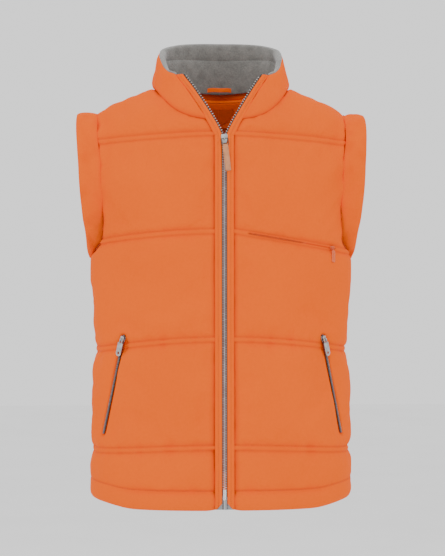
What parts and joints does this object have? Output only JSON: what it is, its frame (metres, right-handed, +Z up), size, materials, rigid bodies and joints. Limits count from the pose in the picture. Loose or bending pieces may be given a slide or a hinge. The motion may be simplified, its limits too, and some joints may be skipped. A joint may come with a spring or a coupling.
{
  "type": "padded vest",
  "caption": "Padded sleeveless vest with a stand collar lined with fleece, a full-length front zip, two slanted hand pockets and a zipped chest pocket.",
  "frame": {"origin": "middle of the neck base, level with the points where the shoulder seams meet the collar", "axes": "+X to the wearer's left, -Y out of the chest, +Z up"},
  "size_m": [0.474, 0.2628, 0.7593],
  "materials": {
    "shell_fabric": "matt brushed woven shell cloth",
    "lining_fabric": "smooth plain-woven lining",
    "wadding": "non-woven fibre wadding",
    "fleece": "short napped fleece",
    "zip_grey": "grey woven tape and grey moulded teeth",
    "slider_steel": "plated die-cast metal",
    "link_steel": "dark plated wire",
    "tab_leather": "natural tan leather",
    "orange_enamel": "satin orange enamel and cord",
    "label_cloth": "plain woven label with no mark"
  },
  "bodies": {
    "root": {"back_shell": "shell_fabric", "back_wadding": "wadding", "back_lining": "lining_fabric", "back_hem": "shell_fabric", "back_collar_shell": "shell_fabric", "back_collar_fleece": "fleece", "back_neck_facing": "lining_fabric", "neck_label": "label_cloth", "chest_coil_outer": "shell_fabric", "chest_pocket_bag": "lining_fabric", "left_side_shell": "shell_fabric", "left_side_wadding": "wadding", "left_side_lining": "lining_fabric", "left_side_hem": "shell_fabric", "left_arm_band": "shell_fabric", "left_pocket_coil": "zip_grey", "left_pocket_bag": "lining_fabric", "left_front_fold": "shell_fabric", "right_side_shell": "shell_fabric", "right_side_wadding": "wadding", "right_side_lining": "lining_fabric", "right_side_hem": "shell_fabric", "right_arm_band": "shell_fabric", "right_pocket_coil": "zip_grey", "right_pocket_bag": "lining_fabric", "right_front_fold": "shell_fabric"},
    "left_front": {"left_front_shell": "shell_fabric", "left_front_wadding": "wadding", "left_front_lining": "lining_fabric", "left_front_hem": "shell_fabric", "left_collar_shell": "shell_fabric", "left_collar_fleece": "fleece", "left_placket": "shell_fabric", "left_placket_facing": "lining_fabric", "left_zip_tape": "zip_grey", "left_zip_teeth": "zip_grey", "zip_box": "zip_grey", "chest_coil_inner": "shell_fabric"},
    "left_pocket_slider": {"left_pocket_slider": "slider_steel"},
    "left_pocket_pull": {"left_pocket_pull": "slider_steel"},
    "right_front": {"right_front_shell": "shell_fabric", "right_front_wadding": "wadding", "right_front_lining": "lining_fabric", "right_front_hem": "shell_fabric", "right_collar_shell": "shell_fabric", "right_collar_fleece": "fleece", "right_placket": "shell_fabric", "right_placket_facing": "lining_fabric", "right_zip_tape": "zip_grey", "right_zip_teeth": "zip_grey", "zip_pin": "zip_grey"},
    "right_pocket_slider": {"right_pocket_slider": "slider_steel"},
    "right_pocket_pull": {"right_pocket_pull": "slider_steel"},
    "main_slider": {"main_slider": "slider_steel"},
    "main_pull": {"main_pull_link": "link_steel", "main_pull_tab": "tab_leather"},
    "chest_slider": {"chest_slider": "orange_enamel"},
    "chest_pull": {"chest_pull": "orange_enamel"},
    "hanger_loop": {"hanger_loop": "shell_fabric"}
  },
  "joints": [
    {"name": "left_front_swing", "type": "hinge", "parent": "root", "child": "left_front", "pos_m": [0.103, -0.1215, -0.68], "axis": [0, 0.0404, 0.9992], "range_deg": [0, 45], "deforming": ["left_front_fold"]},
    {"name": "right_front_swing", "type": "hinge", "parent": "root", "child": "right_front", "pos_m": [-0.103, -0.1215, -0.68], "axis": [0, -0.0404, -0.9992], "range_deg": [0, 45], "deforming": ["right_front_fold"]},
    {"name": "main_slider_travel", "type": "slide", "parent": "left_front", "child": "main_slider", "axis": [0, -0.027, -0.9996], "range_m": [0, 0.553]},
    {"name": "main_pull_swing", "type": "hinge", "parent": "main_slider", "child": "main_pull", "pos_m": [0, -0.12788, -0.09595], "axis": [-0.9925, -0.0033, -0.1218], "range_deg": [0, 150]},
    {"name": "left_pocket_slider_travel", "type": "slide", "parent": "root", "child": "left_pocket_slider", "axis": [0.2019, 0.1653, -0.9654], "range_m": [0, 0.148]},
    {"name": "left_pocket_pull_swing", "type": "hinge", "parent": "left_pocket_slider", "child": "left_pocket_pull", "pos_m": [0.1619, -0.09985, -0.41182], "axis": [-0.68, -0.6857, -0.2596], "range_deg": [0, 150]},
    {"name": "right_pocket_slider_travel", "type": "slide", "parent": "root", "child": "right_pocket_slider", "axis": [-0.2019, 0.1653, -0.9654], "range_m": [0, 0.148]},
    {"name": "right_pocket_pull_swing", "type": "hinge", "parent": "right_pocket_slider", "child": "right_pocket_pull", "pos_m": [-0.1619, -0.09985, -0.41182], "axis": [-0.68, 0.6857, 0.2596], "range_deg": [0, 150]},
    {"name": "chest_slider_travel", "type": "hinge", "parent": "root", "child": "chest_slider", "pos_m": [0.04393, 0.10885, -0.24596], "axis": [0.1604, 0, 0.9871], "range_deg": [-32.4, 0]},
    {"name": "chest_pull_swing", "type": "hinge", "parent": "chest_slider", "child": "chest_pull", "pos_m": [0.17572, -0.09279, -0.26738], "axis": [-0.823, -0.5521, 0.1337], "range_deg": [0, 110]},
    {"name": "hanger_loop_flip", "type": "hinge", "parent": "root", "child": "hanger_loop", "pos_m": [0, 0.0515, 0], "axis": [1, 0, 0], "range_deg": [-70, 70]}
  ]
}
